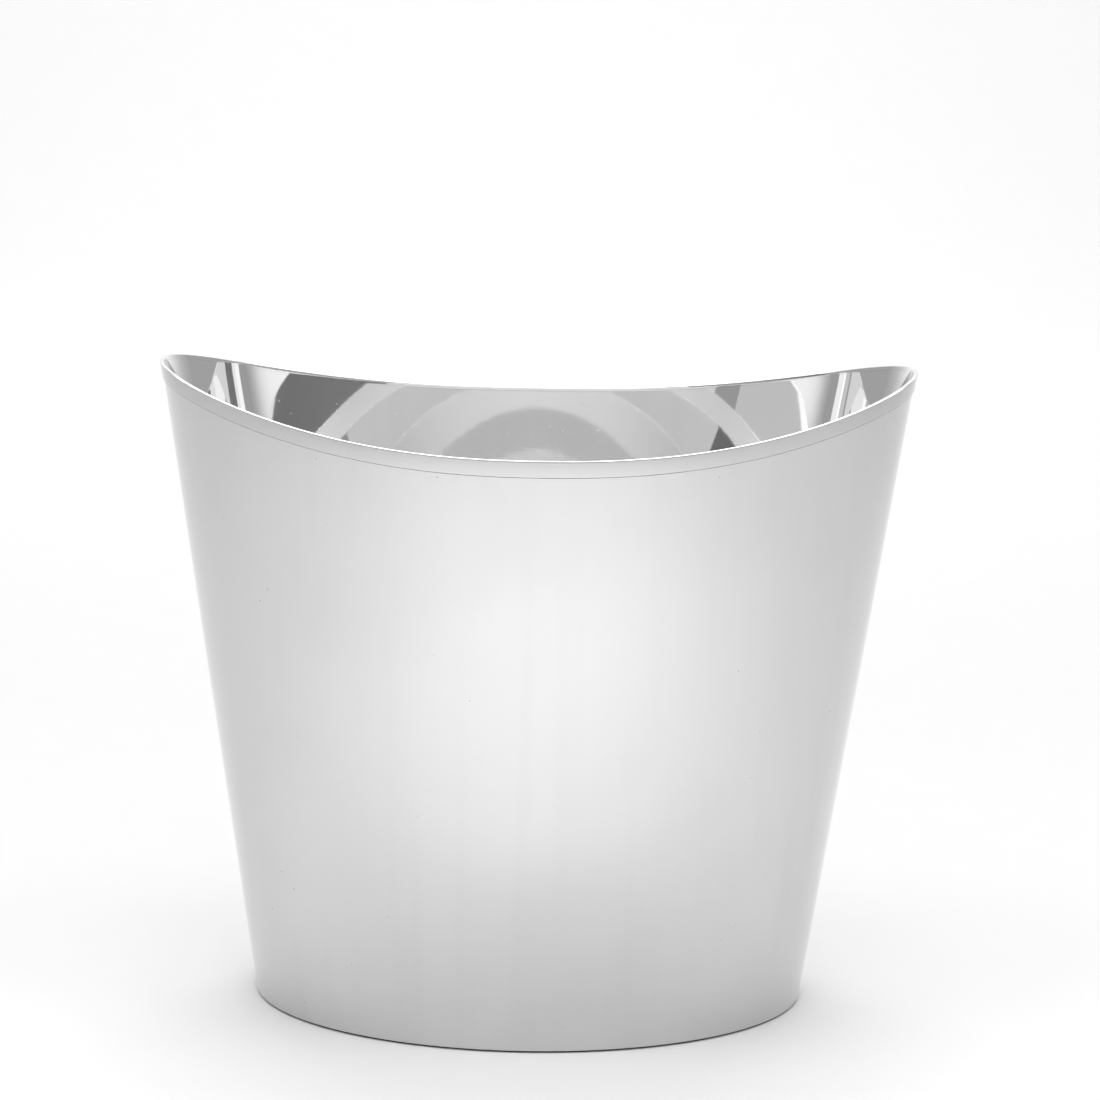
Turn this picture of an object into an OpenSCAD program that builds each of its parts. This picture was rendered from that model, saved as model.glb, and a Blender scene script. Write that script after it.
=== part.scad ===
// Oval champagne bucket with a saddle-shaped rim: the bucket itself, without its two handles.
// Millimetres. Origin at the centre of the underside, +X along the long axis, +Z up.
// A tapered sheet wall stands round a flat base plate, and a band caps the wall's top edge.

/* [Bucket] */
// Length over the rim band, end to end
rim_length = 360; // [320:1:400]
// Width over the rim band, side to side
rim_width = 210; // [202:1:230]
// Length of the wall at its foot
base_length = 266; // [240:1:300]
// Width of the wall at its foot
base_width = 194; // [180:1:200]
// Height of the rim at the two ends
end_height = 310; // [290:1:330]
// Height of the rim in the middle of the long sides
mid_height = 282; // [260:1:288]
// How sharply the rim rises towards the ends
saddle_power = 2.4; // [2:0.1:3]
// Thickness of the sheet that the wall is made of
wall_t = 1.2; // [1.1:0.1:1.6]

/* [Base plate] */
// Thickness of the base plate
base_t = 2.2; // [1.5:0.1:3]
// Height of the wall's foot above the underside of the base plate
foot_gap = 1; // [0.5:0.1:1.2]

/* [Rim band] */
// Height of the band's outer face
band_h = 8; // [6:0.5:10]
// How far the band stands proud of the wall
band_proud = 0.8; // [0.7:0.1:1.2]
// Thickness of the band over the wall's top edge
band_cap = 2; // [2:0.1:3]
// Radius of the band's outer top edge
outer_round = 0.3; // [0.2:0.1:0.5]
// Radius of the band's inner top edge
inner_round = 0.5; // [0.3:0.1:0.8]

/* [Hidden] */

turns = 144;          // facets round the oval
outer_steps = 2;      // facets in the band's outer rounding
inner_steps = 4;      // facets in the band's inner rounding
seam = 0.05;          // clearance where two pieces are soldered together
silver = [0.83, 0.83, 0.85];

// Half length and half width of the wall's outer face at a height.
function half_l(z) =
    base_length / 2 + (rim_length / 2 - band_proud - base_length / 2) * z / end_height;
function half_w(z) =
    base_width / 2 + (rim_width / 2 - band_proud - base_width / 2) * z / mid_height;

// Height of the band's top at a turn round the oval: a saddle, high at the two ends.
function rim_z(turn) =
    mid_height + (end_height - mid_height) * pow(abs(cos(turn)), saddle_power);

// A point beside the wall: turn round the oval, height, and distance outside the outer face.
function wall_point(turn, z, out) =
    let (nx = cos(turn) / half_l(z), ny = sin(turn) / half_w(z), n = norm([nx, ny]))
    [half_l(z) * cos(turn) + out * nx / n, half_w(z) * sin(turn) + out * ny / n, z];

// Points of a quarter round, as [distance outside the wall, height above the band's top].
function quarter(centre, radius, from, steps) = [
    for (i = [0:steps])
        let (angle = from + 90 * i / steps) centre + radius * [cos(angle), sin(angle)]
];

// Faces between one profile of points and the next, all the way round.
function round_faces(corners, first, last) = [
    for (i = [0:turns - 1], j = [first:last])
        let (a = i * corners + j, b = i * corners + (j + 1) % corners,
             c = ((i + 1) % turns) * corners + (j + 1) % corners,
             d = ((i + 1) % turns) * corners + j)
        each [[a, b, c], [a, c, d]]
];

// A closed ring with the same number of profile points at every turn.
module oval_ring(profiles) {
    corners = len(profiles[0]);
    polyhedron([for (p = profiles) each p], round_faces(corners, 0, corners - 1));
}

module bucket_wall() {
    color(silver) oval_ring([
        for (i = [0:turns - 1]) let (turn = 360 * i / turns, top = rim_z(turn) - band_cap - seam) [
            wall_point(turn, foot_gap, 0),
            wall_point(turn, top, 0),
            wall_point(turn, top, -wall_t),
            wall_point(turn, foot_gap, -wall_t)
        ]
    ]);
}

module rim_band() {
    profile = concat(
        [[seam, -band_h], [band_proud, -band_h]],
        quarter([band_proud - outer_round, -outer_round], outer_round, 0, outer_steps),
        quarter([inner_round - wall_t, -inner_round], inner_round, 90, inner_steps),
        [[-wall_t, -band_cap], [seam, -band_cap]]
    );
    color(silver) oval_ring([
        for (i = [0:turns - 1]) let (turn = 360 * i / turns)
            [for (p = profile) wall_point(turn, rim_z(turn) + p[1], p[0])]
    ]);
}

// The plate fits inside the wall and reaches below it, so the bucket stands on the plate.
module base_plate() {
    points = [
        for (i = [0:turns - 1], z = [0, base_t]) wall_point(360 * i / turns, z, -wall_t - seam)
    ];
    underside = [for (i = [0:turns - 1]) 2 * i];
    inside = [for (i = [turns - 1:-1:0]) 2 * i + 1];
    color(silver) polyhedron(points, concat(round_faces(2, 0, 0), [underside, inside]));
}

bucket_wall();
rim_band();
base_plate();
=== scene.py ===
import math

import bmesh
import bpy
from mathutils import Matrix, Vector, noise


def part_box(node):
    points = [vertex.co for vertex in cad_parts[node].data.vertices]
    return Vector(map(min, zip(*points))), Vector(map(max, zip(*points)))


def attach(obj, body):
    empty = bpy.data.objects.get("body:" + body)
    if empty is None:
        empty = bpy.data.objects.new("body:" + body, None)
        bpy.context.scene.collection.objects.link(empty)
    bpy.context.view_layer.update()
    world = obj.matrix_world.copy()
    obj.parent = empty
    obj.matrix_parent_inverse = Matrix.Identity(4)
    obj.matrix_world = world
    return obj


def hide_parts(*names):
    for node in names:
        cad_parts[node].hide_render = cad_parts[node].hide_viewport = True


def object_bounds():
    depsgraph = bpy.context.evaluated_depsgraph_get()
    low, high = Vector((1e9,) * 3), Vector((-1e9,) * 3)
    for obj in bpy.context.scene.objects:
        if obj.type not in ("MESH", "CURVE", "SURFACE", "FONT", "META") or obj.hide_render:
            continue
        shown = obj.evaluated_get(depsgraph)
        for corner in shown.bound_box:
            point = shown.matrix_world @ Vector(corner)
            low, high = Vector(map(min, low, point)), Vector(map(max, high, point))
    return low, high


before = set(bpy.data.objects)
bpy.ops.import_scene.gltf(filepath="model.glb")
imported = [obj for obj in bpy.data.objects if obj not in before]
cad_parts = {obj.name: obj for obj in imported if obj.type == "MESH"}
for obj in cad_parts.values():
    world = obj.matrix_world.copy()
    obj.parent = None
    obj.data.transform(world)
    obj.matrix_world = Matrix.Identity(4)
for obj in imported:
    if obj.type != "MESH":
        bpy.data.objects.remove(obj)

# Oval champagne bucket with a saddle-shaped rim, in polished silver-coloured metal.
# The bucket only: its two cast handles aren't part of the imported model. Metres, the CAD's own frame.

cad_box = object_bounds()

# ---------------------------------------------------------------- sizes
MM = 0.001
WALL_T = 1.2 * MM           # sheet thickness
BAND_H = 8.0 * MM           # height of the band's outer face
BAND_PROUD = 0.8 * MM       # how far the band stands out from the wall
BAND_CAP = 2.0 * MM         # thickness of the band over the wall's edge
SEAM = 0.05 * MM            # gap between soldered pieces
SADDLE_POWER = 2.4          # how sharply the rim rises towards the ends
OUTER_ROUND = 0.2 * MM      # radius of the band's outer top edge
INNER_ROUND = 0.4 * MM      # radius of the band's inner top edge
TOP_TILT = 22               # how far the crowned top leans at its two edges, in degrees
LOWER_ROUND = 0.4 * MM      # radius of the band's lower edge, which holds a line of painted shade
EDGE_ROUND = 0.25 * MM      # radius of the other small edges
FILLET = 2.5 * MM           # radius of the solder fillet inside the foot
FILLET_ARC = 75             # how far the fillet turns from the plate towards the wall, in degrees
CROWN = 0.045 * MM          # how far the band's outer face bulges
DOME = 0.4 * MM             # how far the middle of the plate rises inside
SHARP = 30                  # edges that turn by more than this stay sharp, in degrees
TURNS = 576                 # divisions round the oval
WALL_ROWS = 80              # divisions up the wall

band_low, band_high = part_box("rim_band")
wall_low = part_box("bucket_wall")[0]
base_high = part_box("base_plate")[1]
END_HEIGHT = band_high.z
MID_HEIGHT = band_low.z + BAND_H
FOOT_Z = wall_low.z
foot_points = [v.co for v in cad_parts["bucket_wall"].data.vertices if v.co.z < FOOT_Z + SEAM]
FOOT_L = max(p.x for p in foot_points)
FOOT_W = max(p.y for p in foot_points)
TOP_L = band_high.x - BAND_PROUD
TOP_W = band_high.y - BAND_PROUD


# ---------------------------------------------------------------- the bucket's shape
def half_l(z):
    """Half length of the wall's outer face at a height."""
    return FOOT_L + (TOP_L - FOOT_L) * (z - FOOT_Z) / (END_HEIGHT - FOOT_Z)


def half_w(z):
    """Half width of the wall's outer face at a height."""
    return FOOT_W + (TOP_W - FOOT_W) * (z - FOOT_Z) / (MID_HEIGHT - FOOT_Z)


def rim_z(turn):
    """Height of the band's top at a turn round the oval."""
    return MID_HEIGHT + (END_HEIGHT - MID_HEIGHT) * abs(math.cos(turn)) ** SADDLE_POWER


def wall_point(turn, z, out):
    """A point beside the wall, at a distance outside its outer face."""
    c, s = math.cos(turn), math.sin(turn)
    nx, ny = c / half_l(z), s / half_w(z)
    n = math.hypot(nx, ny)
    return Vector((half_l(z) * c + out * nx / n, half_w(z) * s + out * ny / n, z))


def quarter(centre, radius, start, steps):
    """Points of a quarter round, as (distance outside the wall, height)."""
    angles = [math.radians(start + 90 * i / steps) for i in range(steps + 1)]
    return [(centre[0] + radius * math.cos(a), centre[1] + radius * math.sin(a)) for a in angles]


def crowned_top(inner, outer, from_x, to_x):
    """Points over a crowned edge from its outer face to its inner face, its highest point at height 0."""
    tilt = math.sin(math.radians(TOP_TILT))
    broad = (to_x - from_x - (inner + outer) * (1 - tilt)) / (2 * tilt)
    bends = [(outer, 90, TOP_TILT, 5), (broad, TOP_TILT, -TOP_TILT, 8), (inner, -TOP_TILT, -90, 6)]
    x, z, points = to_x, 0.0, [(to_x, 0.0)]
    for radius, start, end, steps in bends:
        for k in range(steps):
            a, b = (math.radians(start + (end - start) * j / steps) for j in (k, k + 1))
            x += radius * (math.sin(b) - math.sin(a))
            z += radius * (math.cos(b) - math.cos(a))
            points.append((x, z))
    highest = max(z for _, z in points)
    return [(x, z - highest) for x, z in points]


def ring_mesh(name, rows, closed):
    """A mesh from a function of the turn that gives one row of points, joined all the way round."""
    points, faces = [], []
    for i in range(TURNS):
        points += rows(2 * math.pi * i / TURNS)
    per = len(points) // TURNS
    for i in range(TURNS):
        here, there = i * per, (i + 1) % TURNS * per
        for j in range(per if closed else per - 1):
            k = (j + 1) % per
            faces.append((here + j, there + j, there + k, here + k))
    return new_piece(name, points, faces)


def new_piece(name, points, faces):
    """A smooth-shaded object from points and faces."""
    mesh = bpy.data.meshes.new(name)
    mesh.from_pydata(points, [], faces)
    mesh.validate()
    mesh.polygons.foreach_set("use_smooth", [True] * len(mesh.polygons))
    mesh.set_sharp_from_angle(angle=math.radians(SHARP))
    piece = bpy.data.objects.new(name, mesh)
    bpy.context.scene.collection.objects.link(piece)
    return piece


# ---------------------------------------------------------------- materials
HAZE_SCALE = 9                  # clouds of haze to the metre
PIT_SCALE = 130                 # places to the metre where a pit may be
HOOP_LINES = (4, 4, 900)        # polishing lines that run round the bucket
PLATE_LINES = (120, 120, 4)     # polishing lines on the base plate
RUNS = (70, 70, 2.5)            # faint runs down the sheet


def grey(level):
    """A neutral colour."""
    return (level, level, level)


def nodes_of(name):
    """A new node material, its tree and its principled shader."""
    material = bpy.data.materials.new(name)
    material.use_nodes = True
    tree = material.node_tree
    return material, tree, tree.nodes["Principled BSDF"]


def add(tree, kind, **inputs):
    """A node with its input values set by name."""
    node = tree.nodes.new(kind)
    for key, value in inputs.items():
        node.inputs[key.replace("_", " ")].default_value = value
    return node


def stretched(tree, scale):
    """Object coordinates scaled on each axis, for streaks."""
    coords = tree.nodes.new("ShaderNodeTexCoord")
    mapping = add(tree, "ShaderNodeMapping", Scale=scale)
    tree.links.new(coords.outputs["Object"], mapping.inputs["Vector"])
    return mapping.outputs["Vector"]


def noise_of(tree, scale, detail, where=(1, 1, 1)):
    """A noise texture's value on stretched object coordinates."""
    node = add(tree, "ShaderNodeTexNoise", Scale=scale, Detail=detail)
    tree.links.new(stretched(tree, where), node.inputs["Vector"])
    return node.outputs["Fac"]


def ranged(tree, value, low, high, to_low, to_high):
    """A value moved from one range to another, kept inside it."""
    node = tree.nodes.new("ShaderNodeMapRange")
    for key, number in zip(("From Min", "From Max", "To Min", "To Max"), (low, high, to_low, to_high)):
        node.inputs[key].default_value = number
    tree.links.new(value, node.inputs["Value"])
    return node.outputs["Result"]


def maths(tree, what, a, b):
    """Two values put together by a maths node."""
    node = tree.nodes.new("ShaderNodeMath")
    node.operation = what
    for socket, value in zip(node.inputs, (a, b)):
        if isinstance(value, (int, float)):
            socket.default_value = value
        else:
            tree.links.new(value, socket)
    return node.outputs["Value"]


def mixed(tree, share, first, second):
    """Two colours mixed by a value."""
    node = tree.nodes.new("ShaderNodeMix")
    node.data_type = "RGBA"
    node.inputs["A"].default_value = (*first, 1)
    node.inputs["B"].default_value = (*second, 1)
    tree.links.new(share, node.inputs["Factor"])
    return node.outputs["Result"]


def polished_metal(name, bright, dull, shine, haze, streaks, bump):
    """Polished metal: cloudy haze from handling, fine polishing lines, faint runs and a few pits."""
    material, tree, shader = nodes_of(name)
    shader.inputs["Metallic"].default_value = 1
    cloud = noise_of(tree, HAZE_SCALE, 4)
    lines = noise_of(tree, 1, 3, streaks)
    runs = noise_of(tree, 1, 4, RUNS)
    pits = add(tree, "ShaderNodeTexVoronoi", Scale=PIT_SCALE)
    tree.links.new(stretched(tree, (1, 1, 1)), pits.inputs["Vector"])
    spots = noise_of(tree, 38, 2)
    pitted = maths(tree, "MULTIPLY", ranged(tree, pits.outputs["Distance"], 0.03, 0.07, 1, 0),
                   ranged(tree, spots, 0.55, 0.62, 0, 1.6))
    worn = maths(tree, "MAXIMUM", ranged(tree, cloud, 0.45, 0.75, 0, 0.7), pitted)
    worn = maths(tree, "ADD", worn, ranged(tree, runs, 0.5, 0.72, 0, 0.35))
    tree.links.new(mixed(tree, worn, bright, dull), shader.inputs["Base Color"])
    rough = ranged(tree, cloud, 0.35, 0.75, shine, haze)
    rough = maths(tree, "ADD", rough, ranged(tree, lines, 0.5, 0.8, 0, (haze - shine) * 0.6))
    rough = maths(tree, "ADD", rough, maths(tree, "MULTIPLY", pitted, 0.3))
    tree.links.new(rough, shader.inputs["Roughness"])
    relief = add(tree, "ShaderNodeBump", Strength=bump, Distance=0.02 * MM)
    tree.links.new(lines, relief.inputs["Height"])
    tree.links.new(relief.outputs["Normal"], shader.inputs["Normal"])
    return material


def painted_shade_metal(name, dark, light):
    """Dark satin metal, blotchy: its dark colour is painted shade."""
    material, tree, shader = nodes_of(name)
    shader.inputs["Metallic"].default_value = 1
    blotch = noise_of(tree, 60, 6)
    tree.links.new(mixed(tree, blotch, dark, light), shader.inputs["Base Color"])
    tree.links.new(ranged(tree, blotch, 0.3, 0.7, 0.35, 0.6), shader.inputs["Roughness"])
    relief = add(tree, "ShaderNodeBump", Strength=0.3, Distance=0.1 * MM)
    tree.links.new(blotch, relief.inputs["Height"])
    tree.links.new(relief.outputs["Normal"], shader.inputs["Normal"])
    return material


# ---------------------------------------------------------------- pieces
WAVE_HEIGHT = 0.08 * MM     # how far the hand-finished sheet wanders from its true curve
WAVE_SCALE = 14             # waves to the metre


def sheet_wave(point):
    """The small, slow unevenness of a hand-finished sheet."""
    return WAVE_HEIGHT * noise.noise(point * WAVE_SCALE)


def make_wall():
    """The tapered sheet wall, with a rounded foot edge."""
    def rows(turn):
        top = rim_z(turn) - BAND_CAP - SEAM
        outside = []
        for k in range(WALL_ROWS + 1):
            z = FOOT_Z + EDGE_ROUND + (top - FOOT_Z - EDGE_ROUND) * k / WALL_ROWS
            wave = sheet_wave(wall_point(turn, z, 0))
            outside.append((z, wave))
        points = [wall_point(turn, z, wave) for z, wave in outside]
        points += [wall_point(turn, z, wave - WALL_T) for z, wave in reversed(outside)]
        points.append(wall_point(turn, FOOT_Z, EDGE_ROUND - WALL_T))
        points.append(wall_point(turn, FOOT_Z, -EDGE_ROUND))
        return points

    wall = ring_mesh("wall_sheet", rows, True)
    # The outside gets a darker colour (0.615) than the inside (0.94) of the same sheet: painted shade, a
    # darker copy of one polished metal.
    wall.data.materials.append(polished_metal(
        "polished_outside_painted_shade", grey(0.615), grey(0.57), 0.045, 0.11, HOOP_LINES, 0.25))
    wall.data.materials.append(polished_metal(
        "polished_inside", grey(0.94), grey(0.915), 0.012, 0.03, HOOP_LINES, 0.02))
    for face in wall.data.polygons:
        face.material_index = 1 if face.center.xy.dot(face.normal.xy) < 0 else 0
    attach(wall, "root")
    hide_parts("bucket_wall")


def make_band():
    """The band over the rim: a faintly crowned face, rounded along both top edges."""
    top = crowned_top(INNER_ROUND, OUTER_ROUND, -WALL_T, BAND_PROUD - CROWN)
    face = BAND_H + top[0][1] - LOWER_ROUND
    lower = (BAND_PROUD - CROWN - LOWER_ROUND, LOWER_ROUND - BAND_H)
    profile = [(SEAM, -BAND_H)] + quarter(lower, LOWER_ROUND, -90, 4)
    seam_shade_end = len(profile) - 1
    steps = 10
    for k in range(1, steps + 1):
        share = k / steps
        profile.append((BAND_PROUD - CROWN * (2 * share - 1) ** 2, -BAND_H + LOWER_ROUND + face * share))
    outer_face = len(profile) - 1
    profile += top[1:] + [(-WALL_T, -BAND_CAP), (SEAM, -BAND_CAP)]

    def rows(turn):
        return [wall_point(turn, rim_z(turn) + dz, out) for out, dz in profile]

    band = ring_mesh("rim_band_strip", rows, True)
    # The band's face gets a darker colour (0.56) than its top edge (0.95) of the same strip: painted
    # shade, a darker copy of one polished metal.
    band.data.materials.append(polished_metal(
        "polished_band_painted_shade", grey(0.56), grey(0.52), 0.04, 0.09, HOOP_LINES, 0.2))
    # Dark colour on the band's lower rounded edge: painted shade along the seam under the band.
    band.data.materials.append(painted_shade_metal("painted_shade_seam", grey(0.18), grey(0.4)))
    band.data.materials.append(polished_metal(
        "polished_edge", grey(0.95), grey(0.92), 0.02, 0.05, HOOP_LINES, 0.1))
    for face in band.data.polygons:
        first = min(v % len(profile) for v in face.vertices)
        last = max(v % len(profile) for v in face.vertices)
        face.material_index = 1 if last <= seam_shade_end else 2 if first >= outer_face else 0
    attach(band, "root")
    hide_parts("rim_band")


def make_base():
    """The base plate: dull and dark below and on its edge, a dark colour that is painted shade, satin
    inside, with a solder fillet to the wall.
    """
    inset = -WALL_T - SEAM
    top = base_high.z
    edge = [(inset - EDGE_ROUND, 0), (inset, EDGE_ROUND), (inset, top)]
    fillet = [(inset - FILLET + FILLET * math.sin(a), top + FILLET - FILLET * math.cos(a))
              for a in (math.radians(FILLET_ARC * k / 8) for k in range(8, -1, -1))]
    shares = [0.97, 0.9, 0.8, 0.65, 0.45, 0.25, 0.08]

    def rows(turn):
        below = [wall_point(turn, 0, inset - EDGE_ROUND) * share for share in reversed(shares)]
        side = [wall_point(turn, z, out) for out, z in edge + fillet]
        rim = side[-1]
        inside = [Vector((rim.x * s, rim.y * s, rim.z + DOME * (1 - s * s))) for s in shares]
        return list(reversed(below + side + inside))

    plate = ring_mesh("base_plate_disc", rows, False)
    close_middle(plate)
    plate.data.materials.append(polished_metal(
        "satin_base", grey(0.66), grey(0.58), 0.16, 0.3, PLATE_LINES, 0.3))
    # Dark colour on the plate's underside and edge: painted shade, the shadow line at the foot.
    plate.data.materials.append(painted_shade_metal("painted_shade_underside", grey(0.05), grey(0.14)))
    for face in plate.data.polygons:
        face.material_index = 1 if face.center.z < top - SEAM else 0
    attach(plate, "root")
    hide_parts("base_plate")


def close_middle(piece):
    """Fills the two small openings left in the middle of a disc made of rings."""
    shape = bmesh.new()
    shape.from_mesh(piece.data)
    bmesh.ops.holes_fill(shape, edges=[e for e in shape.edges if e.is_boundary], sides=0)
    bmesh.ops.recalc_face_normals(shape, faces=shape.faces)
    shape.to_mesh(piece.data)
    shape.free()


make_wall()
make_band()
make_base()


# ---------------------------------------------------------------- camera
centre = (cad_box[0] + cad_box[1]) / 2
AIM = Vector((0.0067, 0, centre.z + 0.0647))   # the point that the camera looks at
DISTANCE = 1.7405
YAW = math.radians(1.01)
PITCH = math.radians(11.72)
ROLL = math.radians(1.09)
LENS = 118.64

turn_back = Matrix.Rotation(-YAW, 3, "Z")
forward = turn_back @ Vector((0, math.cos(PITCH), -math.sin(PITCH)))
level = turn_back @ Vector((1, 0, 0))
upward = turn_back @ Vector((0, math.sin(PITCH), math.cos(PITCH)))
cam_right = level * math.cos(ROLL) + upward * math.sin(ROLL)
cam_up = upward * math.cos(ROLL) - level * math.sin(ROLL)
cam_data = bpy.data.cameras.new("camera")
cam_data.lens = LENS
cam_data.sensor_width = 36
cam_data.clip_end = 100
camera = bpy.data.objects.new("camera", cam_data)
facing = Matrix((cam_right, cam_up, -forward)).transposed().to_4x4()
camera.matrix_world = Matrix.Translation(AIM - DISTANCE * forward) @ facing
bpy.context.scene.collection.objects.link(camera)
bpy.context.scene.camera = camera


# ---------------------------------------------------------------- studio
def pale(name, colour, grain):
    """A matt pale surface with a faint grain."""
    material, tree, shader = nodes_of(name)
    shader.inputs["Roughness"].default_value = 0.9
    shader.inputs["Specular IOR Level"].default_value = 0.1
    speck = noise_of(tree, grain, 3)
    low = tuple(c * 0.985 for c in colour)
    tree.links.new(mixed(tree, speck, low, colour), shader.inputs["Base Color"])
    return material


def make_sweep():
    """A white floor that curves up into a back wall, well behind the bucket."""
    half, front, back, radius, height = 5.0, -5.0, 3.2, 1.2, 4.0
    line = [(front, 0)]
    line += [(back - radius + radius * math.sin(a), radius - radius * math.cos(a))
             for a in (math.radians(90 * k / 16) for k in range(17))]
    line.append((back, height))
    points = [Vector((x, y, z)) for y, z in line for x in (-half, half)]
    faces = [(2 * i, 2 * i + 1, 2 * i + 3, 2 * i + 2) for i in range(len(line) - 1)]
    sweep = new_piece("sweep", points, faces)
    sweep.data.materials.append(pale("sweep_white", grey(0.93), 30))


def make_flag():
    """A dark board left of the camera: only the polished inside sees it."""
    points = [Vector((x, y, z)) for x, y in ((-2.4, -0.75), (-0.95, -2.25)) for z in (0.35, 1.3)]
    flag = new_piece("left_flag", points, [(0, 2, 3, 1)])
    flag.data.materials.append(pale("flag_grey", grey(0.25), 30))
    flag.visible_camera = False


def softbox(name, where, aim, size, glow, spread=180):
    """A rectangular soft light, hidden from the camera. Its brightness goes by its glow, at any size."""
    light = bpy.data.lights.new(name, "AREA")
    light.shape = "RECTANGLE"
    light.size, light.size_y = size
    light.energy = glow * math.pi * size[0] * size[1]
    light.spread = math.radians(spread)
    lamp = bpy.data.objects.new(name, light)
    lamp.location = where
    lamp.rotation_mode = "QUATERNION"
    lamp.rotation_quaternion = (Vector(aim) - Vector(where)).to_track_quat("-Z", "Y")
    lamp.visible_camera = False
    bpy.context.scene.collection.objects.link(lamp)


make_flag()
make_sweep()
softbox("overhead", (0, 0.9, 2.0), (0, 0.1, 0), (2.2, 1.6), 1.04)
softbox("left", (-1.5, -0.4, 1.3), (0, 0, 0.1), (1.2, 1.4), 0.7)
softbox("right", (1.5, -0.4, 1.3), (0, 0, 0.1), (1.2, 1.4), 0.6)
softbox("right_panel", (1.9, -1.5, 0.75), (0, 0, 0.3), (1.3, 0.6), 0.25)
softbox("front_near", (0, -0.7, 1.0), (0, -0.7, 0), (0.9, 0.5), 0.59, 75)
softbox("front_far", (0, -1.4, 1.6), (0, -1.4, 0), (1.6, 0.8), 1.6, 100)
softbox("front_floor", (0, -0.3, 1.7), (0, -0.6, 0), (3.0, 0.6), 0.95, 120)
softbox("front_wall", (0, -3.5, 1.0), (0, 0, 0.5), (4.0, 2.0), 0.36)
softbox("backdrop", (0, 2.0, 2.6), (0, 2.6, 0.4), (3.0, 1.0), 4.2)

world = bpy.data.worlds.new("studio")
world.use_nodes = True
world.node_tree.nodes["Background"].inputs["Color"].default_value = (1, 1, 1, 1)
world.node_tree.nodes["Background"].inputs["Strength"].default_value = 0.366
bpy.context.scene.world = world
bpy.context.scene.view_settings.view_transform = "Standard"

# The inside mirrors itself many times over, and turns black where the bounces run out.
bpy.context.scene.cycles.max_bounces = 44
bpy.context.scene.cycles.glossy_bounces = 40
